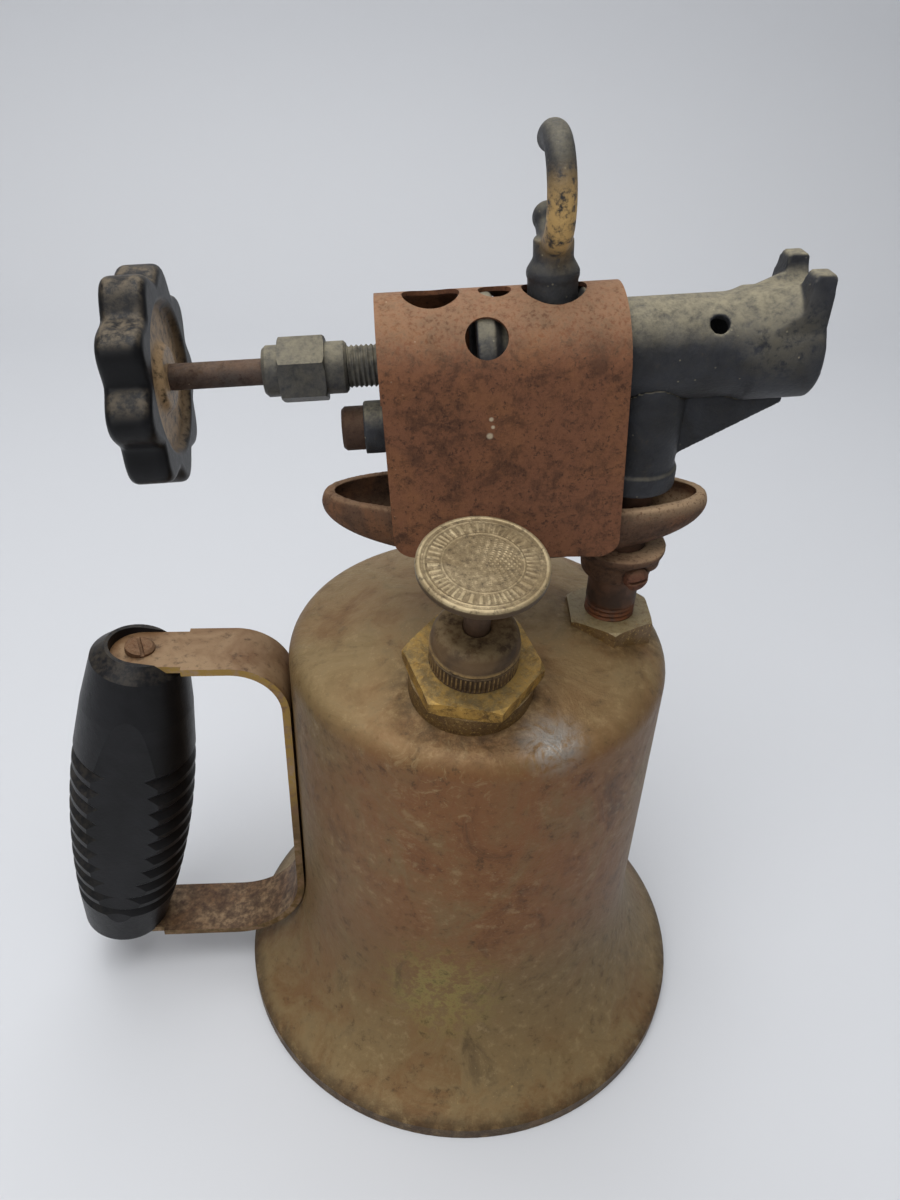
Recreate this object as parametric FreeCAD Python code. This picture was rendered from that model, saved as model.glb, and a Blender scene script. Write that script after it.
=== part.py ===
import FreeCAD
import Part
import math
import os

Vec = FreeCAD.Vector
Place = FreeCAD.Placement
Turn = FreeCAD.Rotation

# Gasoline blow torch, millimetres. +Z is up, +X points to the nozzle, -Y is the pump side.
# The origin is the centre of the base rim, on the surface that the torch stands on.

# Tank, drawn from sheet brass
wall_radius = 53.3
sheet = 1.2
base_radius = 73.0
rim_height = 4.2
flare_start_radius = 71.8
flare_start_height = 5.6
flare_top = 46.0
dome_radius = 150.0
dome_top = 145.0
shoulder_radius = 6.5

# Tank bottom and its filler
pan_height = 21.0
pan_step_radius = 51.0
pan_shelf_radius = 57.0
pan_shelf_height = 7.5
filler_radius = 9.5
filler_bushing_radius = 13.5
filler_bushing_low = 17.0
filler_bushing_high = 28.0
filler_flange_radius = 16.5
filler_flange_thick = 1.8
gasket_thick = 1.4
plug_flange_thick = 2.0
plug_hex_across = 19.0
plug_hex_height = 3.4

# Clearances between pieces that move on each other
running_gap = 0.05
face_gap = 0.1
end_gap = 0.3

# Handle strap and grip
strap_width = 19.0
strap_thick = 2.2
strap_top = 131.8
strap_low = 19.2
strap_bend_top = 16.0
strap_bend_low = 22.0
tongue_width = 16.0
tongue_start = -82.0
low_tongue_start = -101.4
tongue_top_centre = -94.6
tongue_low_centre = -116.5
grip_top = Vec(-94.2, 0.0, 133.3)
grip_low = Vec(-116.0, 0.0, 16.6)
grip_end_radius = 13.1
grip_mid_radius = 18.4
grip_flat = 15.2
groove_count = 10
groove_pitch = 6.6
groove_first = 38.0
groove_depth = 1.5
groove_half = 2.4
grip_screw_radius = 2.5
grip_screw_head = 4.1
screw_slot = 1.1

# Air pump, set square to the domed tank top
pump_seat = Vec(-4.7, -30.9, 150.0)
pump_tilt = 13.0
collar_radius = 16.0
barrel_neck = 11.0
pump_hex_across = 31.0
pump_hex_turn = -11.0
pump_hex_low = -2.3
pump_hex_top = 2.2
barrel_radius = 9.5
barrel_bore = 8.25
barrel_floor = -100.0
barrel_end = -104.0
cap_thread = 9.2
cap_thread_top = 9.6
cap_top = 14.0
rod_radius = 3.25
rod_tail = 2.5
knob_radius = 15.2
knob_top = 36.0
knob_thick = 2.6
plunger_top = -68.5
leather_radius = 8.2
valve_case_end = -117.0
valve_chamber = 5.5
valve_port = 2.0
valve_disc_radius = 4.4
valve_disc_thick = 2.0
spring_radius = 3.0
spring_wire = 0.35
spring_turns = 5

# Burner: feed pipe, drip cup and casting
feed_x = 36.5
pipe_radius = 6.85
pipe_bore = 4.6
pipe_low = 34.0
pipe_top = 199.0
bushing_across = 22.5
bushing_top = 144.4
bushing_shank = 9.0
bushing_low = 128.0
cup_x = 8.0
cup_half_length = 49.0
cup_half_width = 14.3
cup_wall = 2.5
cup_rim = 182.0
cup_base = 164.6
cup_boss_low = 157.6
cup_screw_height = 160.4
cup_screw_turn = -70.0
cup_screw_seat = 8.6
cup_screw_radius = 1.8
cup_screw_head = 3.25

tube_tilt = 4.04
tube_height = 216.9
tube_radius = 12.0
tube_bore = 9.75
tube_rear = -5.0
tube_mouth = 74.0
nozzle_radius = 13.2
hood_seat = 15.0
column_radius = 10.5
column_collar = 11.3
column_low = 185.0
column_collar_top = 191.0
channel_drop = 15.6
channel_radius = 6.35
channel_bore = 3.0
riser_bore = 1.25
riser_x = -18.45
block_rear = -27.0
block_front = -12.0
block_radius = 9.0
cleanout_rear = -32.0
web_thick = 5.0
horn_top = 18.4
horn_half = 11.8
horn_foot = 15.2
notch_half = 6.0
notch_floor = 12.6
air_hole = 2.2
air_hole_x = 50.0
air_hole_turn = 47.0

# Needle valve, measured along the tube axis
nipple_radius = 4.95
nipple_front = -20.0
nipple_rear = -42.0
jet_radius = 4.0
jet_rear = -17.0
jet_nose = -7.0
stem_radius = 3.05
stem_front = -23.8
stem_rear = -83.2
needle_shank = 1.5
packing_end = -45.0
gland_end = -46.5
nut_front = -34.6
nut_hex_front = -39.5
nut_hex_rear = -50.2
nut_rear = -54.0
nut_hex_across = 13.9
wheel_radius = 25.5
wheel_front = -75.3
wheel_rear = -85.4
wheel_lobes = 9
wheel_turn = -7.0
wheel_scallop = 5.5
wheel_valley = 22.0
wheel_recess = 17.6

# Hood and hook
hood_sheet = 1.0
hood_rear = -27.3
hood_front = 28.9
hood_low = 171.6
hood_corner = 5.5
ridge_holes = ((-14.5, 6.5), (0.0, 3.75), (13.5, 7.4))
side_hole_x = -3.0
side_hole_radius = 4.8
side_hole_turn = 53.0
hook_x = 13.2
hook_base = 6.05
hook_neck = 4.55
hook_bar = 3.15
hook_radius = 10.7
hook_centre_y = 1.0
hook_centre_z = 36.4
hook_tip_angle = 60.0
hook_heel_angle = -45.0

pump_place = Place(pump_seat, Turn(Vec(1, 0, 0), pump_tilt))
burner_place = Place(Vec(0, 0, tube_height), Turn(Vec(0, 1, 0), -tube_tilt))
tube_place = burner_place.multiply(Place(Vec(0, 0, 0), Turn(Vec(0, 1, 0), 90)))
grip_axis = grip_low.sub(grip_top)
grip_length = grip_axis.Length
grip_place = Place(grip_top, Turn(Vec(0, 0, 1), grip_axis))


def placed(shape, place):
    # a copy of the shape carried to its place
    moved = shape.copy()
    moved.Placement = place.multiply(moved.Placement)
    return moved


def outline(start, *steps):
    # closed face in the XZ plane; a step is a corner, or a point on an arc and the arc's end
    def point(p):
        return Vec(p[0], 0, p[1])

    edges = []
    here = start
    for step in steps + (start,):
        if isinstance(step[0], tuple):
            edges.append(Part.Arc(point(here), point(step[0]), point(step[1])).toShape())
            here = step[1]
        elif math.dist(here, step) > 1e-6:
            edges.append(Part.LineSegment(point(here), point(step)).toShape())
            here = step
    return Part.Face(Part.Wire(edges))


def turned(start, *steps):
    # solid of revolution about Z from an outline of radius and height
    return outline(start, *steps).revolve(Vec(0, 0, 0), Vec(0, 0, 1), 360)


def plate(half, start, *steps):
    # outline in the XZ plane, given thickness to both sides of it
    face = outline(start, *steps)
    face.translate(Vec(0, -half, 0))
    return face.extrude(Vec(0, 2 * half, 0))


def rod(radius, low, high):
    return Part.makeCylinder(radius, high - low, Vec(0, 0, low))


def ring(outer, inner, low, high):
    return rod(outer, low, high).cut(rod(inner, low - 1, high + 1))


def hexagon(across, low, high, turn=0.0):
    # hexagonal prism along Z, its corners eased by a shallow cone at both ends
    corner = across / math.sqrt(3)
    angles = [math.radians(turn + 60 * i) for i in range(7)]
    corners = [Vec(corner * math.cos(a), corner * math.sin(a), low) for a in angles]
    prism = Part.Face(Part.makePolygon(corners)).extrude(Vec(0, 0, high - low))
    ease = 0.25 * (corner - across / 2) + 0.2
    inset = corner - 1.6 * ease
    cone = turned((0, low), (inset, low), (corner + 0.1, low + ease),
                  (corner + 0.1, high - ease), (inset, high), (0, high))
    return prism.common(cone)


def slot_cut(head, width, depth, top, turn=0.0):
    # straight screwdriver slot across a head that ends at height top
    bar = Part.makeBox(4 * head, width, 2 * depth, Vec(-2 * head, -width / 2, top - depth))
    bar.rotate(Vec(0, 0, 0), Vec(0, 0, 1), turn)
    return bar


def arc_point(centre, radius, degrees):
    a = math.radians(degrees)
    return (centre[0] + radius * math.cos(a), centre[1] + radius * math.sin(a))


def bell(inset):
    # everything inside the tank's outer face, moved inwards by inset: rim, flare, wall, shoulder, dome
    rise = flare_top - flare_start_height
    reach = flare_start_radius - wall_radius
    flare_angle = 2 * math.atan2(reach, rise)
    flare_radius = rise / math.sin(flare_angle)
    flare_centre = (wall_radius + flare_radius, flare_top)
    flare = flare_radius + inset
    bend = shoulder_radius - inset
    bend_r = wall_radius - shoulder_radius
    dome_centre = dome_top - dome_radius
    bend_z = dome_centre + math.sqrt((dome_radius - shoulder_radius) ** 2 - bend_r ** 2)
    lean = math.degrees(math.atan2(bend_z - dome_centre, bend_r))
    foot = 180 + math.degrees(flare_angle)
    dome = dome_radius - inset
    return turned(
        (0, 0),
        (base_radius - inset, 0),
        (base_radius - inset, rim_height - inset / 2),
        arc_point(flare_centre, flare, foot),
        (arc_point(flare_centre, flare, (180 + foot) / 2), (wall_radius - inset, flare_top)),
        (wall_radius - inset, bend_z),
        (arc_point((bend_r, bend_z), bend, lean / 2), arc_point((bend_r, bend_z), bend, lean)),
        (arc_point((0, dome_centre), dome, (lean + 90) / 2), (0, dome_top - inset)),
    )


tank_outside = bell(0)


def tank_shell():
    shell = tank_outside.cut(bell(sheet))
    pump_hole = placed(rod(barrel_neck, -30, 10), pump_place)
    feed_hole = rod(bushing_shank, bushing_low, dome_top + 1)
    feed_hole.translate(Vec(feed_x, 0, 0))
    return shell.cut(pump_hole).cut(feed_hole)


def tank_bottom():
    # pressed pan inside the rim, raised in the middle so that the filler clears the surface below
    skirt = base_radius - sheet
    lift = sheet * 1.1
    return turned(
        (skirt, 0),
        (skirt, rim_height - sheet / 2),
        (pan_shelf_radius + 0.6, pan_shelf_height + lift),
        (pan_step_radius + 0.6, pan_height + sheet),
        (filler_bushing_radius, pan_height + sheet),
        (filler_bushing_radius, pan_height),
        (pan_step_radius, pan_height),
        (pan_shelf_radius, pan_shelf_height),
        (skirt - sheet, rim_height - 2 * sheet),
        (skirt - sheet, 0),
    )


def filler_bushing():
    flange_low = pan_height + sheet
    return turned(
        (filler_radius, filler_bushing_low),
        (filler_bushing_radius, filler_bushing_low),
        (filler_bushing_radius, flange_low),
        (filler_flange_radius, flange_low),
        (filler_flange_radius, flange_low + filler_flange_thick),
        (filler_bushing_radius, flange_low + filler_flange_thick),
        (filler_bushing_radius, filler_bushing_high),
        (filler_radius, filler_bushing_high),
    )


gasket_high = filler_bushing_low - face_gap
gasket_low = gasket_high - gasket_thick
plug_seat = gasket_low - face_gap


def filler_gasket():
    return ring(filler_bushing_radius - 0.2, filler_radius + 0.15, gasket_low, gasket_high)


def filler_plug():
    shank = filler_radius - running_gap
    flange_low = plug_seat - plug_flange_thick
    body = turned(
        (0, flange_low),
        (filler_bushing_radius - 0.4, flange_low),
        (filler_bushing_radius, flange_low + 0.5),
        (filler_bushing_radius, plug_seat),
        (shank, plug_seat),
        (shank, filler_bushing_high - 2.5),
        (shank - 1.2, filler_bushing_high - 1.2),
        (0, filler_bushing_high - 1.2),
    )
    return body.fuse(hexagon(plug_hex_across, flange_low - plug_hex_height, flange_low))


def strap_side():
    # the strap bent from flat bar: top arm, wall run and bottom arm, seen from the side
    face = -wall_radius
    back = face - strap_thick
    top_centre = (face - strap_bend_top, strap_top - strap_bend_top)
    top_inner = strap_bend_top - strap_thick
    low_centre = (back - strap_bend_low, strap_low + strap_bend_low)
    low_outer = strap_bend_low + strap_thick
    top_end = tongue_top_centre - tongue_width / 2
    low_end = tongue_low_centre - tongue_width / 2
    return plate(
        strap_width / 2,
        (top_end, strap_top),
        (top_centre[0], strap_top),
        (arc_point(top_centre, strap_bend_top, 45), (face, top_centre[1])),
        (face, low_centre[1]),
        (arc_point(low_centre, low_outer, -45), (low_centre[0], strap_low - strap_thick)),
        (low_end, strap_low - strap_thick),
        (low_end, strap_low),
        (low_centre[0], strap_low),
        (arc_point(low_centre, strap_bend_low, -45), (back, low_centre[1])),
        (back, top_centre[1]),
        (arc_point(top_centre, top_inner, 45), (top_centre[0], strap_top - strap_thick)),
        (top_end, strap_top - strap_thick),
    )


def tongue(centre_x, low, high):
    # flat tongue with a round end, as wide as the narrow part of the strap
    half = tongue_width / 2
    bar = Part.makeBox(tongue_start - centre_x, tongue_width, high - low, Vec(centre_x, -half, low))
    end = rod(half, low, high)
    end.translate(Vec(centre_x, 0, 0))
    return bar.fuse(end)


def grip_screw_hole():
    return placed(rod(grip_screw_radius, -5, grip_length + 5), grip_place)


def handle_strap():
    broad = Part.makeBox(60, 2 * strap_width, 150, Vec(tongue_start, -strap_width, strap_low + 30))
    low_broad = Part.makeBox(80, 2 * strap_width, strap_low + 30, Vec(low_tongue_start, -strap_width, 0))
    side = strap_side()
    top = tongue(tongue_top_centre, strap_top - strap_thick, strap_top)
    low = tongue(tongue_low_centre, strap_low - strap_thick, strap_low)
    strap = side.common(broad.fuse(low_broad)).fuse(top).fuse(low).removeSplitter()
    return strap.cut(tank_outside).cut(grip_screw_hole())


def grip_radius(s):
    # barrel curve along the grip: widest in the middle, narrow at both ends
    middle = grip_length / 2
    swell = 1 - ((s - middle) / (middle - 2.5)) ** 2
    return grip_end_radius + (grip_mid_radius - grip_end_radius) * swell


def handle_grip():
    # moulded barrel with rings of grooves, a flat on each side, and both ends let in for the strap
    round_end = 3.8
    points = [(0, 0), (grip_radius(round_end) - round_end, 0), (grip_radius(round_end), round_end)]
    points.append((grip_radius(groove_first / 2), groove_first / 2))
    for i in range(groove_count):
        s = groove_first + i * groove_pitch
        points.append((grip_radius(s - groove_half), s - groove_half))
        points.append((grip_radius(s) - groove_depth, s))
        points.append((grip_radius(s + groove_half), s + groove_half))
    tail = grip_length - round_end
    points += [(grip_radius(tail), tail), (grip_radius(tail) - round_end, grip_length), (0, grip_length)]
    barrel = placed(turned(*points), grip_place)
    slab = Part.makeBox(120, 2 * grip_flat, 200, Vec(-170, -grip_flat, -20))
    top = tongue(tongue_top_centre, strap_top - strap_thick, strap_top + 20)
    low = tongue(tongue_low_centre, strap_low - 20, strap_low)
    return barrel.common(slab).cut(top).cut(low).cut(grip_screw_hole())


def handle_screw():
    # long slotted screw through the grip, head on the top tongue, end in the bottom tongue
    head_low = (grip_top.z - strap_top) * 1.02 + 0.15
    head = turned((0, head_low), (grip_screw_head, head_low), (grip_screw_head, head_low - 1.4),
                  (grip_screw_head - 0.8, head_low - 2.0), (0, head_low - 2.0))
    slot = Part.makeBox(20, screw_slot, 2, Vec(-10, -screw_slot / 2, head_low - 2.9))
    slot.rotate(Vec(0, 0, 0), Vec(0, 0, 1), 70)
    shank = rod(grip_screw_radius, head_low, grip_length + 1.5)
    whole = placed(head.cut(slot).fuse(shank), grip_place)
    return whole.cut(tongue(tongue_top_centre, strap_top - strap_thick, strap_top).cut(grip_screw_hole()))


def pump_collar():
    blank = ring(collar_radius, barrel_neck, -18, pump_hex_low)
    return placed(blank, pump_place).cut(tank_outside)


def pump_barrel():
    # hexagon head, cap thread above it and the long cylinder below, closed by a ported floor
    hexa = hexagon(pump_hex_across, pump_hex_low, pump_hex_top, pump_hex_turn)
    body = turned(
        (0, barrel_end),
        (barrel_radius, barrel_end),
        (barrel_radius, -14),
        (barrel_neck, -14),
        (barrel_neck, pump_hex_top),
        (cap_thread, pump_hex_top),
        (cap_thread, cap_thread_top),
        (0, cap_thread_top),
    )
    bore = rod(barrel_bore, barrel_floor, cap_thread_top + 1)
    port = rod(valve_port, barrel_end - 1, barrel_floor + 1)
    return placed(body.fuse(hexa).cut(bore).cut(port), pump_place)


def pump_cap():
    rod_hole = rod_radius + running_gap
    low = pump_hex_top
    return placed(turned(
        (cap_thread, low),
        (11.0, low),
        (11.2, low + 0.4),
        (11.2, low + 5.0),
        (10.8, low + 5.3),
        ((11.5, low + 6.0), (10.8, low + 6.7)),
        (10.8, low + 8.6),
        ((10.0, low + 10.8), (8.0, cap_top)),
        (rod_hole + 0.5, cap_top),
        (rod_hole, cap_top - 0.5),
        (rod_hole, cap_thread_top),
        (cap_thread, cap_thread_top),
    ), pump_place)


def pump_rod():
    return placed(turned(
        (0, plunger_top - 10.5),
        (rod_tail, plunger_top - 10.5),
        (rod_tail, plunger_top),
        (rod_radius, plunger_top),
        (rod_radius, knob_top - 1.2),
        (0, knob_top - 1.2),
    ), pump_place)


def pump_knob():
    low = knob_top - knob_thick
    return placed(turned(
        (rod_radius, low - 3),
        (5.0, low - 3),
        (5.6, low),
        (knob_radius - 0.9, low),
        ((knob_radius, low + knob_thick / 2), (knob_radius - 0.9, knob_top)),
        (0, knob_top),
        (0, knob_top - 1.2),
        (rod_radius, knob_top - 1.2),
    ), pump_place)


def plunger_washer():
    return placed(ring(7.6, rod_tail, plunger_top - 1.5, plunger_top), pump_place)


def pump_leather():
    # cup washer, open downwards, that seals against the bore on the push
    top = plunger_top - 1.5
    return placed(turned(
        (rod_tail, top - 1.8),
        (leather_radius - 1.7, top - 1.8),
        (leather_radius - 1.5, top - 6.0),
        (leather_radius, top - 6.0),
        (leather_radius, top - 1.2),
        ((leather_radius - 0.4, top - 0.4), (leather_radius - 1.2, top)),
        (rod_tail, top),
    ), pump_place)


def plunger_disc():
    top = plunger_top - 3.3
    return placed(ring(leather_radius - 2.0, rod_tail, top - 1.6, top), pump_place)


def plunger_nut():
    top = plunger_top - 4.9
    return placed(hexagon(9.0, top - 4, top, 30).cut(rod(rod_tail, top - 5, top + 1)), pump_place)


def check_valve_case():
    floor = valve_case_end + 2
    return placed(turned(
        (valve_chamber, barrel_end),
        (barrel_radius - 1, barrel_end),
        (barrel_radius - 1, valve_case_end),
        (1.6, valve_case_end),
        (1.6, floor),
        (valve_chamber, floor),
    ), pump_place)


disc_top = barrel_end - face_gap * 2


def check_valve_disc():
    return placed(rod(valve_disc_radius, disc_top - valve_disc_thick, disc_top), pump_place)


def check_valve_spring():
    low = valve_case_end + 2 + spring_wire
    high = disc_top - valve_disc_thick - spring_wire - face_gap
    coil = Part.makeHelix((high - low) / spring_turns, high - low, spring_radius)
    coil.translate(Vec(0, 0, low))
    section = Part.Wire(Part.makeCircle(spring_wire, Vec(spring_radius, 0, low), Vec(0, 1, 0)))
    return placed(Part.Wire(coil).makePipeShell([section], True, True), pump_place)


def burner_bushing():
    nut = hexagon(bushing_across, bushing_top - 9, bushing_top, -93)
    shank = rod(bushing_shank, bushing_low, bushing_top - 1)
    bore = rod(pipe_radius, bushing_low - 1, bushing_top + 1)
    nut.translate(Vec(feed_x, 0, 0))
    shank.translate(Vec(feed_x, 0, 0))
    bore.translate(Vec(feed_x, 0, 0))
    return nut.cut(tank_outside).fuse(shank).cut(bore).removeSplitter()


def standpipe():
    pipe = ring(pipe_radius, pipe_bore, pipe_low, pipe_top)
    pipe.translate(Vec(feed_x, 0, 0))
    return pipe


def boat(half_length, half_width, low, high):
    # oval bowl with a flat bottom and rounded sides, its rim at height high
    belly = half_width * 0.42
    knee = (half_width * 0.91, low + (high - low) * 0.42)
    bowl = turned((0, low), (belly, low), (knee, (half_width, high)), (0, high))
    stretch = FreeCAD.Matrix()
    stretch.A11 = half_length / half_width
    oval = bowl.transformGeometry(stretch)
    oval.translate(Vec(cup_x, 0, 0))
    return oval


def cup_screw_place():
    # the set screw points at the feed pipe from the pump side
    angle = math.radians(cup_screw_turn)
    out = Vec(math.cos(angle), math.sin(angle), 0)
    return Place(Vec(feed_x, 0, cup_screw_height), Turn(Vec(0, 0, 1), out))


def drip_cup():
    outer = boat(cup_half_length, cup_half_width, cup_base, cup_rim)
    inner = boat(cup_half_length - cup_wall, cup_half_width - cup_wall, cup_base + cup_wall, cup_rim + 0.01)
    floor = cup_base + cup_wall
    boss = turned((0, cup_boss_low), (8.8, cup_boss_low), (9.4, cup_boss_low + 0.6), (9.8, cup_base - 3),
                  ((10.6, cup_base - 1), (12.4, cup_base + 0.6)), (12.4, floor), (0, floor))
    boss.translate(Vec(feed_x, 0, 0))
    lug = turned((0, cup_base - 3.6), (3.6, cup_base - 3.6), (4.8, cup_base - 2.4), (5.2, floor), (0, floor))
    lug.translate(Vec(feed_x + 5.4, -4.2, 0))
    bore = rod(pipe_radius, cup_boss_low - 1, cup_rim)
    bore.translate(Vec(feed_x, 0, 0))
    tapped = placed(rod(cup_screw_radius, 0, 20), cup_screw_place())
    spot_face = placed(rod(cup_screw_head + 0.4, cup_screw_seat, 20), cup_screw_place())
    solid = outer.fuse(boss).fuse(lug)
    for cut in (inner, bore, tapped, spot_face):
        solid = solid.cut(cut)
    return solid.removeSplitter()


def cup_screw():
    seat = cup_screw_seat
    head_top = seat + 3.3
    shank = rod(cup_screw_radius, pipe_radius + 0.2, seat)
    head = turned((0, seat), (cup_screw_head, seat), (cup_screw_head, seat + 2.2),
                  ((cup_screw_head - 0.85, seat + 3.0), (0, head_top)))
    slot = slot_cut(cup_screw_head, screw_slot, 1.2, head_top, 25)
    return placed(shank.fuse(head).cut(slot), cup_screw_place())


def tube_outline(rim):
    # outside of the mixing tube, with its two hood rims at radius rim; the front swells into the nozzle
    return placed(turned(
        (0, tube_rear),
        (rim, tube_rear),
        (rim, tube_rear + 4),
        (tube_radius, tube_rear + 6),
        (tube_radius, 19),
        (rim, 20.5),
        (rim, 24),
        (tube_radius, 25.5),
        (tube_radius, 53),
        ((tube_radius + 0.3, 56), (nozzle_radius, 58.5)),
        (nozzle_radius, tube_mouth - 1),
        (nozzle_radius - 1, tube_mouth),
        (0, tube_mouth),
    ), tube_place)


def horns():
    # the nozzle's upper lip flares into a scoop, and two rests with a round notch between them stand on it
    scoop = turned(
        (0, tube_mouth - 18),
        (tube_radius - 0.5, tube_mouth - 18),
        ((nozzle_radius + 0.5, tube_mouth - 11), (horn_foot, tube_mouth - 7)),
        (horn_foot, tube_mouth - 0.6),
        (0, tube_mouth - 0.6),
    )
    teeth = plate(
        nozzle_radius,
        (tube_mouth - 7.4, 5.9),
        (tube_mouth - 0.6, 5.9),
        (tube_mouth + 0.2, horn_top - 0.8),
        (tube_mouth - 0.4, horn_top),
        (tube_mouth - 4.2, horn_top),
        (tube_mouth - 4.9, horn_top - 0.8),
    )
    front = outline(
        (-horn_half, 5.9),
        (horn_half, 5.9),
        (horn_half, nozzle_radius),
        (horn_half - 1.2, horn_top + 1),
        (notch_half, horn_top + 1),
        (notch_half - 0.5, notch_floor + 4),
        ((0, notch_floor), (0.5 - notch_half, notch_floor + 4)),
        (-notch_half, horn_top + 1),
        (1.2 - horn_half, horn_top + 1),
        (-horn_half, nozzle_radius),
    )
    front.rotate(Vec(0, 0, 0), Vec(0, 0, 1), 90)
    front.translate(Vec(50, 0, 0))
    window = placed(front.extrude(Vec(40, 0, 0)), burner_place)
    return placed(scoop, tube_place).fuse(placed(teeth, burner_place)).common(window)


def casting_blank():
    # valve block on the tube axis, vapour channel under the tube, column, and a thin web out to the nozzle
    drum = rod(block_radius, block_rear, block_front)
    channel = rod(channel_radius, cleanout_rear, feed_x + 2)
    channel.translate(Vec(channel_drop, 0, 0))
    half = channel_radius - 0.6
    neck = Part.makeBox(channel_drop, 2 * half, block_front - block_rear, Vec(0, -half, block_rear))
    post = turned((0, column_low), (column_collar - 0.6, column_low), (column_collar, column_low + 0.6),
                  (column_collar, column_collar_top - 1), (column_radius, column_collar_top),
                  (column_radius, tube_height), (0, tube_height))
    post.translate(Vec(feed_x, 0, 0))
    web = plate(web_thick / 2, (feed_x, 193.3), (46.8, 193.3), (70.5, 207.2), (70.5, 212), (feed_x, 212))
    blank = placed(drum.fuse(channel).fuse(neck), tube_place)
    return blank.fuse(post).fuse(web).cut(tube_outline(tube_radius))


def burner_tube():
    # mixing tube with its horned nozzle, notched where the vapour channel passes its rims
    body = tube_outline(hood_seat).fuse(horns()).cut(casting_blank())
    bore = rod(tube_bore, tube_rear - 1, tube_mouth + 1)
    mouth = turned((0, 66), (tube_bore, 66), (nozzle_radius - 1.8, tube_mouth + 1), (0, tube_mouth + 1))
    body = body.cut(placed(bore, tube_place)).cut(placed(mouth, tube_place))
    for side in (-1, 1):
        hole = rod(air_hole, tube_bore - 3, nozzle_radius + 4)
        hole.rotate(Vec(0, 0, 0), Vec(1, 0, 0), -side * air_hole_turn)
        hole.translate(Vec(air_hole_x, 0, 0))
        body = body.cut(placed(hole, burner_place))
    return body


def burner_casting():
    # bores for the feed pipe, the rise to the channel, the channel and its plug, the riser, nipple and jet
    body = casting_blank()
    feed = rod(pipe_radius, column_low - 1, pipe_top)
    rise = rod(channel_bore, pipe_top - 1, tube_height - channel_drop + 3)
    for bore in (feed, rise):
        bore.translate(Vec(feed_x, 0, 0))
        body = body.cut(bore)
    lower = rod(channel_bore, cleanout_rear - 1, feed_x)
    plug = rod(jet_radius, cleanout_rear - 1, cleanout_rear + 6)
    for bore in (lower, plug):
        bore.translate(Vec(channel_drop, 0, 0))
        body = body.cut(placed(bore, tube_place))
    riser = rod(riser_bore, -channel_drop, 0)
    riser.translate(Vec(riser_x, 0, 0))
    body = body.cut(placed(riser, burner_place))
    nipple = rod(nipple_radius, block_rear - 1, nipple_front)
    seat = rod(jet_radius, nipple_front - 1, block_front + 1)
    return body.cut(placed(nipple, tube_place)).cut(placed(seat, tube_place))


def jet():
    seat = 2.2
    orifice = 0.5
    return placed(turned(
        (seat, jet_rear),
        (jet_radius, jet_rear),
        (jet_radius, block_front),
        (jet_radius - 0.6, block_front),
        (jet_radius - 0.6, jet_nose - 1.5),
        (jet_radius - 2.0, jet_nose),
        (orifice, jet_nose),
        (orifice, jet_nose - 3.5),
    ), tube_place)


def valve_needle():
    # loose needle carried in the stem, its cone just clear of the jet's seat
    return placed(turned(
        (0, stem_front - 6.2),
        (needle_shank, stem_front - 6.2),
        (needle_shank, stem_front + end_gap),
        (2.4, stem_front + end_gap),
        (2.4, jet_rear - 0.6),
        (2.1, jet_rear),
        (0.62, jet_nose - 4.3),
        (0, jet_nose - 3.9),
    ), tube_place)


def valve_stem():
    bore = needle_shank + running_gap
    return placed(turned(
        (bore, stem_front),
        (stem_radius, stem_front),
        (stem_radius, stem_rear),
        (1.7, stem_rear),
        (1.7, stem_rear + 6.5),
        (0, stem_rear + 6.5),
        (0, stem_front - 6.4),
        (bore, stem_front - 6.4),
    ), tube_place)


stem_hole = stem_radius + running_gap


def stuffing_nipple():
    return placed(ring(nipple_radius, stem_hole, nipple_rear, nipple_front), tube_place)


def packing_ring():
    return placed(ring(nipple_radius, stem_hole, packing_end, nipple_rear), tube_place)


def packing_gland():
    return placed(ring(nipple_radius, stem_hole, gland_end, packing_end), tube_place)


def packing_nut():
    hexa = hexagon(nut_hex_across, nut_hex_rear, nut_hex_front)
    shoulders = turned(
        (0, nut_rear),
        (5.2, nut_rear),
        (5.9, nut_rear + 0.8),
        (5.9, nut_hex_rear),
        (6.0, nut_hex_front),
        (6.0, nut_front - 0.6),
        (5.4, nut_front),
        (0, nut_front),
    )
    inside = rod(nipple_radius, gland_end, nut_front + 1)
    hole = rod(stem_hole, nut_rear - 1, gland_end + 1)
    return placed(hexa.fuse(shoulders).cut(inside).cut(hole), tube_place)


def handwheel():
    # scalloped wheel, hollowed on the burner side and let in on the outer side for its screw
    edge = 1.8
    disc = turned(
        (0, wheel_rear),
        (wheel_radius - edge, wheel_rear),
        ((wheel_radius - 0.3 * edge, wheel_rear + 0.3 * edge), (wheel_radius, wheel_rear + edge)),
        (wheel_radius, wheel_front - edge),
        ((wheel_radius - 0.3 * edge, wheel_front - 0.3 * edge), (wheel_radius - edge, wheel_front)),
        (wheel_recess, wheel_front),
        (wheel_recess - 1.5, wheel_front - 2),
        (8.5, wheel_front - 2),
        (7.0, wheel_front - 0.4),
        (0, wheel_front - 0.4),
    )
    scallop = rod(wheel_scallop, wheel_rear - 1, wheel_front + 1)
    scallop.translate(Vec(wheel_valley + wheel_scallop, 0, 0))
    for i in range(wheel_lobes):
        cut = scallop.copy()
        cut.rotate(Vec(0, 0, 0), Vec(0, 0, 1), wheel_turn + 360 * (i + 0.5) / wheel_lobes)
        disc = disc.cut(cut)
    bore = rod(stem_radius, stem_rear, wheel_front + 1)
    pocket = rod(9.0, wheel_rear - 1, stem_rear)
    return placed(disc.cut(bore).cut(pocket), tube_place)


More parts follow.
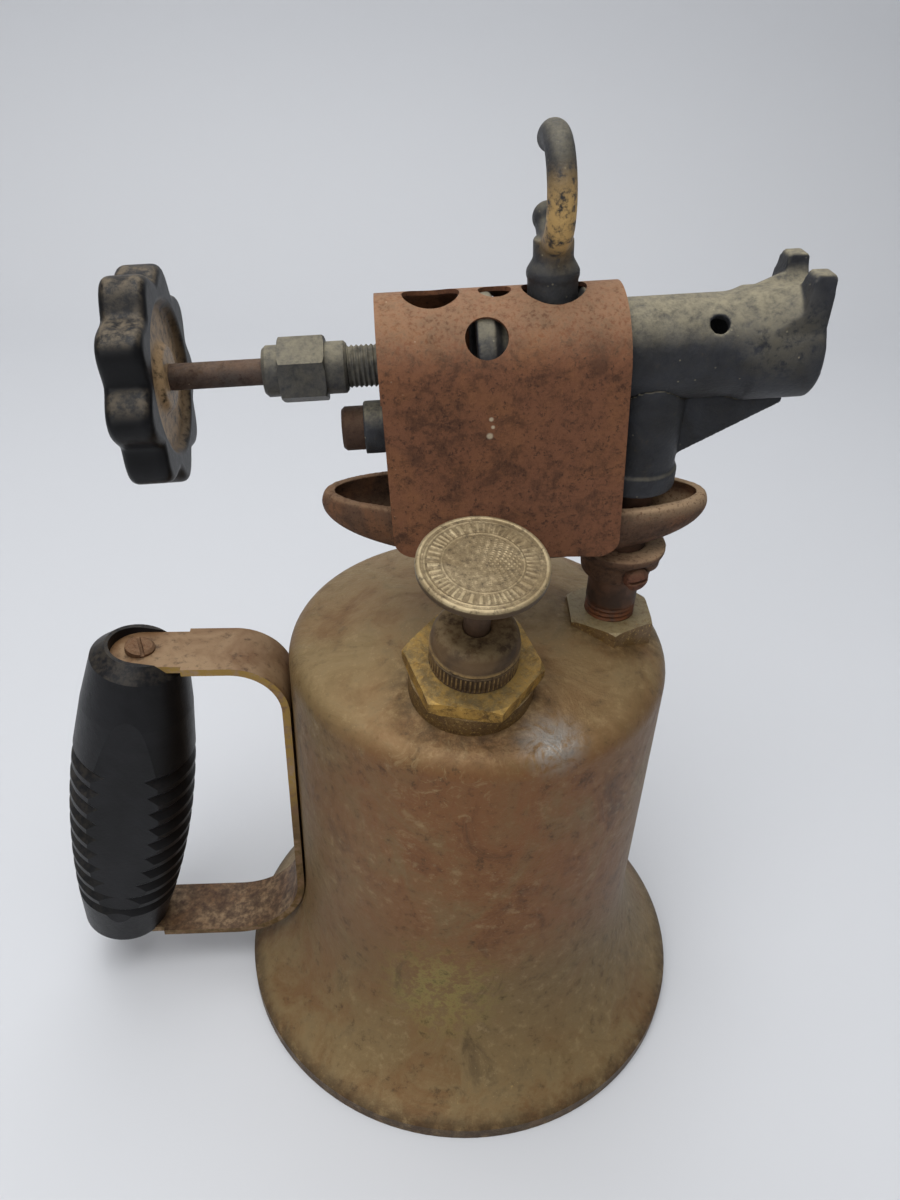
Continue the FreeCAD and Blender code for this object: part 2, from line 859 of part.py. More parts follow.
def handwheel_screw():
    shank = rod(1.7, stem_rear, stem_rear + 6)
    head = turned((0, stem_rear), (4.6, stem_rear), (4.6, stem_rear - 1.0), ((3.4, stem_rear - 1.8),
                  (0, stem_rear - 2.1)))
    slot = Part.makeBox(20, screw_slot, 2, Vec(-10, -screw_slot / 2, stem_rear - 3.1))
    return placed(shank.fuse(head).cut(slot), tube_place)


def cleanout_plug():
    head = turned((0, cleanout_rear), (5.3, cleanout_rear), (5.3, cleanout_rear - 4.5),
                  (4.6, cleanout_rear - 5.3), (0, cleanout_rear - 5.3))
    whole = head.fuse(rod(jet_radius, cleanout_rear, cleanout_rear + 5.5))
    whole.translate(Vec(channel_drop, 0, 0))
    return placed(whole, tube_place)


def hood():
    # folded sheet over the rear of the burner, with air holes along the ridge and through the sides
    def arch(radius):
        face = outline((-radius, -60), (radius, -60), (radius, 0), ((0, radius), (-radius, 0)))
        face.rotate(Vec(0, 0, 0), Vec(0, 0, 1), 90)
        return face

    outer = arch(hood_seat + hood_sheet)
    outer.translate(Vec(hood_rear, 0, 0))
    inner = arch(hood_seat)
    inner.translate(Vec(hood_rear - 1, 0, 0))
    length = hood_front - hood_rear
    sheet_body = outer.extrude(Vec(length, 0, 0)).cut(inner.extrude(Vec(length + 2, 0, 0)))
    for x, radius in ridge_holes:
        hole = rod(radius, 0, 30)
        hole.translate(Vec(x, 0, 0))
        sheet_body = sheet_body.cut(hole)
    for side in (-1, 1):
        hole = rod(side_hole_radius, 5, 30)
        hole.rotate(Vec(0, 0, 0), Vec(1, 0, 0), -side * side_hole_turn)
        hole.translate(Vec(side_hole_x, 0, 0))
        sheet_body = sheet_body.cut(hole)
    drop = (tube_height - hood_low) * math.sin(math.radians(tube_tilt))
    rear = hood_rear + drop
    front = hood_front + drop
    c = hood_corner
    skirt = plate(
        30,
        (rear - 20, 260),
        (rear - 20, hood_low + 40),
        (rear - 2.6, hood_low + 40),
        (rear, hood_low + c),
        ((rear + 0.29 * c, hood_low + 0.29 * c), (rear + c, hood_low)),
        (front - c, hood_low),
        ((front - 0.29 * c, hood_low + 0.29 * c), (front, hood_low + c)),
        (front - 2.6, hood_low + 40),
        (front + 20, hood_low + 40),
        (front + 20, 260),
    )
    return placed(sheet_body, burner_place).common(skirt)


def hook():
    # cast rest for a soldering iron: round foot, collar and an open ring across the tube
    foot = turned((0, 6), (hook_base - 0.3, 6), (hook_base - 0.3, 18.2), (hook_base, 18.4),
                  (hook_base, 19.8), (hook_neck, 22.4), (hook_neck, 26.6), (0, 26.6))
    foot.translate(Vec(hook_x, 0, 0))
    centre = Vec(hook_x, hook_centre_y, hook_centre_z)
    sweep = 360 + hook_heel_angle - hook_tip_angle

    def on_ring(degrees):
        y, z = arc_point((hook_centre_y, hook_centre_z), hook_radius, degrees)
        return Vec(hook_x, y, z)

    across = Vec(0, math.sin(math.radians(hook_tip_angle)), -math.cos(math.radians(hook_tip_angle)))
    section = Part.Face(Part.Wire(Part.makeCircle(hook_bar, on_ring(hook_tip_angle), across)))
    bar = section.revolve(centre, Vec(1, 0, 0), sweep)
    tip = Part.makeSphere(hook_bar, on_ring(hook_tip_angle))
    heel = Part.makeSphere(hook_bar + 0.5, on_ring(hook_heel_angle))
    whole = foot.fuse(bar).fuse(tip).fuse(heel)
    seat = Part.makeCylinder(tube_radius, 60, Vec(-20, 0, 0), Vec(1, 0, 0))
    return placed(whole.cut(seat), burner_place)


nodes = {
    "tank_shell": tank_shell,
    "tank_bottom": tank_bottom,
    "filler_bushing": filler_bushing,
    "filler_gasket": filler_gasket,
    "filler_plug": filler_plug,
    "handle_strap": handle_strap,
    "handle_grip": handle_grip,
    "handle_screw": handle_screw,
    "pump_collar": pump_collar,
    "pump_barrel": pump_barrel,
    "pump_cap": pump_cap,
    "pump_rod": pump_rod,
    "pump_knob": pump_knob,
    "plunger_washer": plunger_washer,
    "pump_leather": pump_leather,
    "plunger_disc": plunger_disc,
    "plunger_nut": plunger_nut,
    "check_valve_case": check_valve_case,
    "check_valve_disc": check_valve_disc,
    "check_valve_spring": check_valve_spring,
    "burner_bushing": burner_bushing,
    "standpipe": standpipe,
    "drip_cup": drip_cup,
    "cup_screw": cup_screw,
    "burner_tube": burner_tube,
    "burner_casting": burner_casting,
    "jet": jet,
    "valve_needle": valve_needle,
    "valve_stem": valve_stem,
    "stuffing_nipple": stuffing_nipple,
    "packing_ring": packing_ring,
    "packing_gland": packing_gland,
    "packing_nut": packing_nut,
    "handwheel": handwheel,
    "handwheel_screw": handwheel_screw,
    "cleanout_plug": cleanout_plug,
    "hood": hood,
    "hook": hook,
}

os.makedirs("parts", exist_ok=True)
for name, make in nodes.items():
    shape = make()
    shape.exportStep("parts/" + name + ".step")
    print(name, len(shape.Solids), shape.isValid(), round(shape.Volume, 1))
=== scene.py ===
import math

import bmesh
import bpy
import numpy as np
from mathutils import Matrix, Vector


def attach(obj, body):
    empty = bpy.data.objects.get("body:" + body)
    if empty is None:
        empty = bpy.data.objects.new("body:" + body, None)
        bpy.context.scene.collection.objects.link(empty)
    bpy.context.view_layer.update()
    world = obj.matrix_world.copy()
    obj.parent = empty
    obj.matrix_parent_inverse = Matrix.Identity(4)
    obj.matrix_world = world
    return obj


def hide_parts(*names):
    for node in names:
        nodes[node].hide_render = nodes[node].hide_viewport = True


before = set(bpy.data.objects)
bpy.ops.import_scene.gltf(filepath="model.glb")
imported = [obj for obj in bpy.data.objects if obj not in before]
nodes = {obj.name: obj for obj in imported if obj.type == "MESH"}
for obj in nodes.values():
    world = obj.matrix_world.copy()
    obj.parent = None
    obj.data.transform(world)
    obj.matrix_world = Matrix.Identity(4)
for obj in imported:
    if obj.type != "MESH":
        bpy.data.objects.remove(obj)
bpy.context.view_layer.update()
mm = 0.001
mergeDistance = 2e-7
emptyArea = 1e-14
print("frame loaded:", len(nodes), "nodes")


# axes that the turned pieces are set on: origin, then the local x, y and z directions


def axesAt(origin, ux, uy, uz):
    return {"origin": np.array(origin) * mm, "turn": np.array([ux, uy, uz], float)}


pumpTilt = math.radians(13.0)
tubeTilt = math.radians(4.04)
pumpAxes = axesAt((-4.7, -30.9, 150.0), (1, 0, 0),
                  (0, math.cos(pumpTilt), math.sin(pumpTilt)),
                  (0, -math.sin(pumpTilt), math.cos(pumpTilt)))
tubeAxes = axesAt((0, 0, 216.9), (math.sin(tubeTilt), 0, -math.cos(tubeTilt)), (0, 1, 0),
                  (math.cos(tubeTilt), 0, math.sin(tubeTilt)))
feedAxes = axesAt((36.5, 0, 0), (1, 0, 0), (0, 1, 0), (0, 0, 1))


# surfaces and pieces


def eased(corners, radii, closed=False, steps=5):
    # each corner of the outline becomes a parabola between two points, radii away along both edges
    c = np.array(corners, float)
    radii = np.broadcast_to(np.array(radii, float), len(c))
    before, after = np.roll(c, 1, 0) - c, np.roll(c, -1, 0) - c
    lenB, lenA = np.linalg.norm(before, axis=1), np.linalg.norm(after, axis=1)
    cutB, cutA = np.minimum(radii, 0.45 * lenB), np.minimum(radii, 0.45 * lenA)
    start = c + before * (cutB / lenB)[:, None]
    end = c + after * (cutA / lenA)[:, None]
    t = np.linspace(0, 1, steps)[None, :, None]
    arcs = (1 - t) ** 2 * start[:, None] + 2 * t * (1 - t) * c[:, None] + t ** 2 * end[:, None]
    if not closed:
        arcs[0], arcs[-1] = c[0], c[-1]
    return arcs.reshape(-1, 2)


def resampled(line, spacing, closed=False):
    # the same line with points about spacing apart, its own points kept
    if closed:
        line = np.vstack([line, line[:1]])
    length = np.concatenate([[0], np.cumsum(np.linalg.norm(np.diff(line, axis=0), axis=1))])
    keep, at = np.unique(np.round(length, 6), return_index=True)
    wanted = np.union1d(keep, np.linspace(0, keep[-1], int(keep[-1] / spacing) + 2))
    out = np.stack([np.interp(wanted, keep, line[at, k]) for k in (0, 1)], 1)
    return out[:-1] if closed else out


def turnedGrid(line, steps):
    # radius, height and angle of each point of a turned surface: rows follow the outline, columns the turn
    angle = np.linspace(0, 2 * np.pi, steps, endpoint=False)[None, :]
    radius = np.repeat(line[:, :1], steps, 1)
    height = np.repeat(line[:, 1:], steps, 1)
    return radius, height, np.repeat(angle, len(line), 0)


def turnedPiece(name, radius, height, angle, axes, closed, crease=35, raised=None):
    # point = origin + (radius cos angle) x + (radius sin angle) y + height z, in millimetres
    local = np.stack([radius * np.cos(angle), radius * np.sin(angle), height], -1) * mm
    points = local @ axes["turn"] + axes["origin"]
    rows, columns = radius.shape
    index = np.arange(rows * columns).reshape(rows, columns)
    low = index if closed else index[:-1]
    high = np.roll(index, -1, 0) if closed else index[1:]
    quads = np.stack([low, np.roll(low, -1, 1), np.roll(high, -1, 1), high], -1).reshape(-1, 4)
    mesh = bpy.data.meshes.new(name)
    mesh.from_pydata(points.reshape(-1, 3).tolist(), [], quads.tolist())
    if raised is not None:
        share = mesh.attributes.new("raised", "FLOAT", "POINT")
        share.data.foreach_set("value", raised.astype(float).ravel())
    solid = bmesh.new()
    solid.from_mesh(mesh)
    bmesh.ops.remove_doubles(solid, verts=solid.verts, dist=mergeDistance)
    bmesh.ops.recalc_face_normals(solid, faces=solid.faces)
    if solid.calc_volume(signed=True) < 0:
        bmesh.ops.reverse_faces(solid, faces=solid.faces)
    solid.to_mesh(mesh)
    solid.free()
    mesh.shade_smooth()
    mesh.set_sharp_from_angle(angle=math.radians(crease))
    piece = bpy.data.objects.new(name, mesh)
    bpy.context.scene.collection.objects.link(piece)
    return piece


def softPiece(name, node, cell, rounds):
    # softened edges: the solid rebuilt in cells of the given size, its points drawn toward their neighbours
    piece = bpy.data.objects.new(name, nodes[node].data.copy())
    bpy.context.scene.collection.objects.link(piece)
    grid = piece.modifiers.new("cells", "REMESH")
    grid.mode = "VOXEL"
    grid.voxel_size = cell * mm
    ease = piece.modifiers.new("ease", "SMOOTH")
    ease.iterations = rounds
    shape = piece.evaluated_get(bpy.context.evaluated_depsgraph_get())
    mesh = bpy.data.meshes.new_from_object(shape)
    piece.modifiers.clear()
    piece.data = mesh
    mesh.name = name
    mesh.shade_smooth()
    return piece


def standsFor(piece, node, body):
    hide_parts(node)
    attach(piece, body)


# materials: small tools


def rgb(r, g, b):
    # an sRGB colour, 0 to 255, as linear light
    s = np.array([r, g, b]) / 255
    return tuple(np.where(s <= 0.04045, s / 12.92, ((s + 0.055) / 1.055) ** 2.4)) + (1.0,)


class Finish:
    # one Principled material and the few nodes that its patterns are made of

    def __init__(self, name, metallic, roughness, gloss=0.5):
        self.material = bpy.data.materials.new(name)
        self.material.use_nodes = True
        self.tree = self.material.node_tree
        self.shader = self.tree.nodes["Principled BSDF"]
        self.shader.inputs["Metallic"].default_value = metallic
        self.shader.inputs["Roughness"].default_value = roughness
        self.shader.inputs["Specular IOR Level"].default_value = gloss
        self.place = self.tree.nodes.new("ShaderNodeTexCoord")

    def wire(self, value, socket):
        if isinstance(value, bpy.types.NodeSocket):
            self.tree.links.new(value, socket)
        else:
            socket.default_value = value

    def stretched(self, scale):
        node = self.tree.nodes.new("ShaderNodeMapping")
        node.inputs["Scale"].default_value = scale
        self.tree.links.new(self.place.outputs["Object"], node.inputs["Vector"])
        return node.outputs["Vector"]

    def noise(self, size, detail=6.0, rough=0.6, scale=(1, 1, 1), warp=0.0):
        # blotches about size millimetres across
        node = self.tree.nodes.new("ShaderNodeTexNoise")
        node.inputs["Scale"].default_value = 1 / (size * mm)
        node.inputs["Detail"].default_value = detail
        node.inputs["Roughness"].default_value = rough
        node.inputs["Distortion"].default_value = warp
        self.tree.links.new(self.stretched(scale), node.inputs["Vector"])
        return node.outputs["Fac"]

    def cells(self, size):
        # distance to the nearest of many scattered points, about size millimetres apart
        node = self.tree.nodes.new("ShaderNodeTexVoronoi")
        node.inputs["Scale"].default_value = 1 / (size * mm)
        self.tree.links.new(self.stretched((1, 1, 1)), node.inputs["Vector"])
        return node.outputs["Distance"]

    def ramp(self, value, low, high, top=1.0):
        # 0 below low and top above high, smooth between; low may be above high
        node = self.tree.nodes.new("ShaderNodeMapRange")
        node.interpolation_type = "SMOOTHSTEP"
        self.tree.links.new(value, node.inputs["Value"])
        flip = low > high
        node.inputs["From Min"].default_value = min(low, high)
        node.inputs["From Max"].default_value = max(low, high)
        node.inputs["To Min"].default_value = top if flip else 0.0
        node.inputs["To Max"].default_value = 0.0 if flip else top
        return node.outputs["Result"]

    def math(self, how, a, b=0.0):
        node = self.tree.nodes.new("ShaderNodeMath")
        node.operation = how
        self.wire(a, node.inputs[0])
        self.wire(b, node.inputs[1])
        return node.outputs["Value"]

    def times(self, *values):
        out = values[0]
        for value in values[1:]:
            out = self.math("MULTIPLY", out, value)
        return out

    def near(self, point, reach, soft=0.5):
        # 1 at a point of the object given in millimetres, 0 beyond reach
        node = self.tree.nodes.new("ShaderNodeVectorMath")
        node.operation = "DISTANCE"
        self.tree.links.new(self.place.outputs["Object"], node.inputs[0])
        node.inputs[1].default_value = [v * mm for v in point]
        return self.ramp(node.outputs["Value"], reach * mm, reach * (1 - soft) * mm)

    def along(self, axis, low, high):
        # 0 to 1 along one object axis, in millimetres
        node = self.tree.nodes.new("ShaderNodeSeparateXYZ")
        self.tree.links.new(self.place.outputs["Object"], node.inputs["Vector"])
        return self.ramp(node.outputs[axis], low * mm, high * mm)

    def facing(self, axis, low, high):
        # 0 to 1 by how far the surface faces along one object axis
        node = self.tree.nodes.new("ShaderNodeSeparateXYZ")
        self.tree.links.new(self.place.outputs["Normal"], node.inputs["Vector"])
        return self.ramp(node.outputs[axis], low, high)

    def attribute(self, name):
        node = self.tree.nodes.new("ShaderNodeAttribute")
        node.attribute_name = name
        return node.outputs["Fac"]

    def over(self, factor, under, top):
        # colour top laid over colour under
        node = self.tree.nodes.new("ShaderNodeMix")
        node.data_type = "RGBA"
        self.wire(factor, node.inputs[0])
        self.wire(under, node.inputs[6])
        self.wire(top, node.inputs[7])
        return node.outputs[2]

    def between(self, factor, low, high):
        # a number that goes from low to high with factor
        node = self.tree.nodes.new("ShaderNodeMapRange")
        self.tree.links.new(factor, node.inputs["Value"])
        node.inputs["To Min"].default_value = low
        node.inputs["To Max"].default_value = high
        return node.outputs["Result"]

    def bump(self, height, depth, chained=None):
        # depth in millimetres
        node = self.tree.nodes.new("ShaderNodeBump")
        node.inputs["Distance"].default_value = depth * mm
        self.tree.links.new(height, node.inputs["Height"])
        if chained is not None:
            self.tree.links.new(chained, node.inputs["Normal"])
        return node.outputs["Normal"]

    def done(self, colour, roughness=None, normal=None):
        for name, value in (("Base Color", colour), ("Roughness", roughness), ("Normal", normal)):
            if value is not None:
                self.wire(value, self.shader.inputs[name])
        return self.material


def paint(material, *names):
    for name in names:
        mesh = nodes[name].data if name in nodes else bpy.data.objects[name].data
        mesh.materials.clear()
        mesh.materials.append(material)


# tank: brown tarnish, redder high on the pump side, olive lower down, scuffs, a painted highlight on the
# shoulder and a dark rim

tankLook = {
    "brown": rgb(116, 87, 55), "red": rgb(121, 79, 46), "olive": rgb(118, 97, 64),
    "pale": rgb(158, 137, 99), "dark": rgb(56, 40, 25), "bare": rgb(172, 144, 92),
    "green": rgb(146, 132, 76), "paintedGlintColour": rgb(150, 152, 150),
    "redAt": (2, -54, 100), "redReach": 72, "greenAt": (-12, -57, 46), "scuffAt": (-15, -52, 129),
    "paintedGlintAt": (15, -48, 141), "pumpFoot": (-4.7, -31, 142), "feedFoot": (36.5, 0, 138),
}


def tankFinish():
    look = tankLook
    f = Finish("tarnishedTankBrass", 0.28, 0.5, 0.25)
    broad = f.noise(46, 6, 0.64, warp=0.8)
    cloud = f.noise(17, 9, 0.72, scale=(1, 1, 0.7), warp=0.7)
    fine = f.noise(4.5, 10, 0.78)
    grain = f.noise(0.9, 4, 0.7)
    wisps = f.noise(6.5, 8, 0.7, warp=2.0)
    colour = f.over(f.ramp(broad, 0.4, 0.62), look["brown"], look["olive"])
    red = f.times(f.near(look["redAt"], look["redReach"], 0.7), f.ramp(cloud, 0.3, 0.6, 0.95))
    colour = f.over(red, colour, look["red"])
    flare = f.times(f.along("Z", 70, 34), f.ramp(cloud, 0.36, 0.6, 0.9))
    colour = f.over(flare, colour, look["olive"])
    green = f.times(f.near(look["greenAt"], 27, 0.8), f.ramp(fine, 0.44, 0.58, 0.8))
    colour = f.over(green, colour, look["green"])
    colour = f.over(f.ramp(cloud, 0.52, 0.7, 0.65), colour, look["dark"])
    colour = f.over(f.ramp(fine, 0.53, 0.68, 0.7), colour, look["dark"])
    dusty = f.times(f.facing("Z", 0.2, 0.95), f.ramp(cloud, 0.36, 0.62, 0.45))
    colour = f.over(dusty, colour, look["pale"])
    film = f.times(f.ramp(fine, 0.47, 0.36, 0.4), f.ramp(broad, 0.36, 0.6))
    colour = f.over(film, colour, look["pale"])
    for foot, reach in ((look["pumpFoot"], 25), (look["feedFoot"], 19)):
        ring = f.times(f.near(foot, reach, 0.35), f.ramp(fine, 0.38, 0.58, 0.5))
        colour = f.over(ring, colour, look["dark"])
    # painted highlight: a bluish-white glint on the shoulder, with lower roughness there
    paintedGlint = f.times(f.near(look["paintedGlintAt"], 13, 0.9), f.ramp(wisps, 0.36, 0.58, 0.85))
    colour = f.over(paintedGlint, colour, look["paintedGlintColour"])
    # wiped scuffs high on the wall, and short bright scratches
    scuff = f.times(f.near(look["scuffAt"], 24, 0.8), f.ramp(wisps, 0.52, 0.68, 0.6))
    colour = f.over(scuff, colour, look["pale"])
    scratches = f.times(f.ramp(f.noise(1.0, 3, 0.55, scale=(1, 1, 0.12), warp=0.6), 0.67, 0.76, 0.5),
                        f.ramp(cloud, 0.46, 0.62))
    colour = f.over(scratches, colour, look["bare"])
    specks = f.times(f.ramp(f.cells(1.7), 0.14, 0.05, 0.6), f.ramp(cloud, 0.44, 0.6))
    colour = f.over(specks, colour, look["pale"])
    rimDark = f.times(f.along("Z", 9, 3.4), f.ramp(fine, 0.28, 0.56, 0.8))
    colour = f.over(rimDark, colour, look["dark"])
    rough = f.math("SUBTRACT", f.between(fine, 0.32, 0.62), f.times(paintedGlint, 0.35))
    normal = f.bump(broad, 0.9, f.bump(cloud, 0.4, f.bump(f.math("ADD", fine, f.times(grain, 0.35)), 0.2)))
    return f.done(colour, rough, normal)


paint(tankFinish(), "tank_shell", "tank_bottom")
print("tank painted")


# brass fittings: bushings, pump base and plunger

brassLook = {
    "brown": rgb(108, 82, 44), "dark": rgb(46, 34, 22), "dust": rgb(146, 132, 98),
    "spark": rgb(196, 164, 96),
}


def brassFinish(name, gold, darkness, metallic=0.6, dustiness=0.5):
    look = brassLook
    f = Finish(name, metallic, 0.36, 0.35)
    broad = f.noise(4, 8, 0.7, warp=0.5)
    fine = f.noise(1.5, 9, 0.8)
    colour = f.over(f.ramp(broad, 0.36, 0.6), look["brown"], gold)
    colour = f.over(f.ramp(fine, 0.5, 0.68, darkness), colour, look["dark"])
    grit = f.noise(0.7, 4, 0.7)
    colour = f.over(f.ramp(grit, 0.56, 0.68, 0.7), colour, look["spark"])
    dusty = f.times(f.facing("Z", 0.5, 0.98), f.ramp(fine, 0.3, 0.6, dustiness))
    colour = f.over(dusty, colour, look["dust"])
    normal = f.bump(f.math("ADD", fine, f.times(grit, 0.4)), 0.16)
    return f.done(colour, f.between(fine, 0.26, 0.66), normal)


fittingNodes = ("pump_barrel", "filler_bushing", "filler_plug")
paint(brassFinish("wornFittingBrass", rgb(182, 144, 72), 0.6), *fittingNodes)
paint(brassFinish("darkCollarBrass", rgb(96, 72, 42), 0.9, 0.3), "pump_collar")
paint(brassFinish("oliveBushingBrass", rgb(112, 88, 58), 0.6, 0.1, 0.95), "burner_bushing")
plungerNodes = ("plunger_washer", "plunger_disc", "plunger_nut", "check_valve_case", "jet")
paint(brassFinish("plainPlungerBrass", rgb(176, 142, 78), 0.35), *plungerNodes)
print("brass painted")


# pump knob: tarnished disc with a raised border, a worn ring of strokes and a stippled middle

knobShape = {
    "radius": 15.2, "top": 36.0, "thick": 2.6, "rod": 3.25, "rodCover": 1.2, "boss": 5.0, "bossDrop": 3.0,
    "border": 13.9, "ringIn": 9.6, "ringOut": 12.6, "relief": 0.2, "strokes": 46, "turns": 360,
}
knobLook = {
    "dull": rgb(150, 132, 99), "bright": rgb(186, 169, 134), "sunk": rgb(98, 82, 58), "dark": rgb(62, 50, 36),
    "under": rgb(74, 56, 34),
}


def knobPiece():
    k = knobShape
    low = k["top"] - k["thick"]
    rodTop, bossLow = k["top"] - k["rodCover"], low - k["bossDrop"]
    corners = [(0, rodTop), (k["rod"], rodTop), (k["rod"], bossLow), (k["boss"], bossLow),
               (k["boss"] + 0.6, low), (k["radius"], low), (k["radius"], k["top"]), (0, k["top"])]
    line = resampled(eased(corners, [0, 0, 0, 0.4, 0.5, 1.0, 0.9, 0]), 0.16)
    radius, height, angle = turnedGrid(line, k["turns"])
    # relief on the top face: border step, strokes in the ring, two fine circles, worn away on one side
    onTop = height > k["top"] - 0.02
    border = np.clip((radius - k["border"]) / 0.25, 0, 1)
    inRing = (radius > k["ringIn"]) & (radius < k["ringOut"])
    strokes = inRing * np.clip(np.sin(angle * k["strokes"] + 3 * np.sin(angle * 5)) * 2, 0, 1)
    circles = sum(np.exp(-((radius - at) / 0.22) ** 2) for at in (k["ringIn"] - 0.4, k["ringOut"] + 0.5))
    dots = np.sin(radius * 5.2) * np.sin(angle * np.round(radius * 4))
    stipple = (radius < k["ringIn"] - 1) * np.clip(dots, 0, 1)
    patchy = 0.55 + 0.45 * np.sin(angle + 1.1) * np.sin(radius * 0.31)
    sunk = (1 - border) * (1 - patchy * np.clip(0.9 * strokes + circles + 0.7 * stipple, 0, 1))
    height = height - onTop * k["relief"] * sunk * np.clip((k["radius"] - radius) / 0.6, 0, 1)
    raised = np.where(onTop, 1 - sunk, 0.5)
    return turnedPiece("pumpKnob", radius, height, angle, pumpAxes, False, 35, raised)


def knobFinish():
    look = knobLook
    f = Finish("dullKnobBrass", 0.4, 0.45, 0.35)
    broad = f.noise(10, 5, 0.6, warp=0.5)
    fine = f.noise(1.5, 9, 0.76)
    colour = f.over(f.ramp(broad, 0.34, 0.66), look["dull"], look["bright"])
    sunk = f.times(f.ramp(f.attribute("raised"), 0.75, 0.1, 0.7), f.ramp(fine, 0.3, 0.5))
    colour = f.over(sunk, colour, look["sunk"])
    colour = f.over(f.ramp(fine, 0.5, 0.66, 0.75), colour, look["dark"])
    # downward faces darker: painted shade on the underside of the knob
    colour = f.over(f.facing("Z", 0.35, -0.2), colour, look["under"])
    return f.done(colour, f.between(fine, 0.3, 0.68), f.bump(fine, 0.12))


standsFor(knobPiece(), "pump_knob", "pump_plunger")
paint(knobFinish(), "pumpKnob")
print("pump knob made")


# pump cap: dark cap with a knurled band under a bead

capShape = {
    "low": 2.2, "top": 14.0, "band": 11.2, "bandHigh": 5.1, "groove": 10.7, "bead": 11.4, "beadHigh": 6.1,
    "wall": 10.8, "crown": 8.0, "knurls": 60, "knurlDepth": 0.42, "thread": 9.2, "threadTop": 9.6,
    "rodHole": 3.3, "turns": 360,
}
capLook = {
    "dark": rgb(68, 52, 36), "brown": rgb(100, 78, 52), "dust": rgb(138, 118, 86), "ridge": rgb(150, 122, 76),
    "speck": rgb(120, 96, 62),
}


def capPiece():
    c = capShape
    low = c["low"]
    bandTop, bead = low + c["bandHigh"], low + c["beadHigh"]
    corners = [(c["thread"], low), (c["band"], low), (c["band"], bandTop), (c["groove"], bandTop + 0.2),
               (c["bead"], bead), (c["wall"], bead + 0.7), (c["wall"], bead + 2.7),
               (c["wall"] - 0.7, bead + 4.5), (c["crown"], c["top"]),
               (c["rodHole"], c["top"]), (c["rodHole"], c["threadTop"]), (c["thread"], c["threadTop"])]
    radii = [0, 0.3, 0.2, 0.2, 0.5, 0.2, 0.8, 1.2, 1.4, 0.4, 0, 0]
    line = resampled(eased(corners, radii, True), 0.28, True)
    radius, height, angle = turnedGrid(line, c["turns"])
    # straight knurl: radius falls by half a cosine wave, only on the outside of the band
    fade = np.clip((height - low - 0.2) / 0.4, 0, 1) * np.clip((bandTop - 0.1 - height) / 0.4, 0, 1)
    band = (radius > c["band"] - 0.2) * fade
    dip = 0.5 + 0.5 * np.cos(angle * c["knurls"])
    onBead = np.exp(-((height - bead) / 0.5) ** 2) * (radius > c["wall"] + 0.1)
    raised = np.where(band > 0.5, 1 - dip, 0.4 + 0.6 * onBead)
    radius = radius - band * c["knurlDepth"] * dip
    return turnedPiece("pumpCap", radius, height, angle, pumpAxes, True, 35, raised)


def capFinish():
    look = capLook
    f = Finish("darkCapBrass", 0.2, 0.6, 0.3)
    fine = f.noise(2.4, 8, 0.7)
    broad = f.noise(9, 4, 0.6)
    colour = f.over(f.ramp(broad, 0.36, 0.64), look["dark"], look["brown"])
    dusty = f.times(f.facing("Z", 0.2, 0.9), f.ramp(fine, 0.36, 0.6, 0.75))
    colour = f.over(dusty, colour, look["dust"])
    ridges = f.times(f.ramp(f.attribute("raised"), 0.5, 0.95, 0.85), f.ramp(fine, 0.38, 0.56))
    colour = f.over(ridges, colour, look["ridge"])
    colour = f.over(f.ramp(fine, 0.6, 0.72, 0.8), colour, look["speck"])
    return f.done(colour, f.between(fine, 0.4, 0.8), f.bump(fine, 0.18))


standsFor(capPiece(), "pump_cap", "tank")
paint(capFinish(), "pumpCap")
print("pump cap made")


# threads: the stuffing nipple behind the hood and the foot of the feed pipe

nippleShape = {
    "radius": 4.95, "bore": 3.1, "front": -20.0, "rear": -42.0, "pitch": 1.15, "depth": 0.5, "turns": 140,
}
pipeShape = {
    "radius": 6.85, "bore": 4.6, "low": 34.0, "top": 199.0, "threadTop": 149.0, "threadLow": 142.0,
    "pitch": 1.4, "depth": 0.55, "turns": 140, "wallRows": 42, "threadRows": 50,
}
pipeLook = {
    "dark": rgb(62, 46, 36), "brown": rgb(98, 70, 53), "foot": rgb(112, 66, 36), "rust": rgb(96, 60, 38),
}


def threadDip(height, angle, pitch):
    # triangle wave that climbs one pitch in each turn: 0 at the crest, 1 at the root
    phase = height / pitch - angle / (2 * np.pi)
    return np.abs(2 * (phase - np.floor(phase)) - 1)


def nipplePiece():
    n = nippleShape
    corners = [(n["bore"], n["front"]), (n["radius"], n["front"]),
               (n["radius"], n["rear"]), (n["bore"], n["rear"])]
    line = resampled(np.array(corners), 0.14, True)
    radius, height, angle = turnedGrid(line, n["turns"])
    outside = radius > n["radius"] - 0.01
    radius = radius - outside * n["depth"] * threadDip(height, angle, n["pitch"])
    return turnedPiece("stuffingNipple", radius, height, angle, tubeAxes, True, 60)


def pipePiece():
    p = pipeShape
    # the outer wall has close rows only where the thread is cut
    rows = np.union1d(np.linspace(p["low"], p["top"], p["wallRows"]),
                      np.linspace(p["threadLow"], p["threadTop"], p["threadRows"]))
    wall = np.stack([np.full(len(rows), p["radius"]), rows], 1)
    line = np.vstack([[(p["bore"], p["low"])], wall, [(p["bore"], p["top"])]])
    radius, height, angle = turnedGrid(line, p["turns"])
    fade = np.clip((height - p["threadLow"]) / 0.6, 0, 1) * np.clip((p["threadTop"] - height) / 1.2, 0, 1)
    outside = radius > p["radius"] - 0.01
    radius = radius - fade * p["depth"] * threadDip(height, angle, p["pitch"]) * outside
    return turnedPiece("feedPipe", radius, height, angle, feedAxes, True, 60)


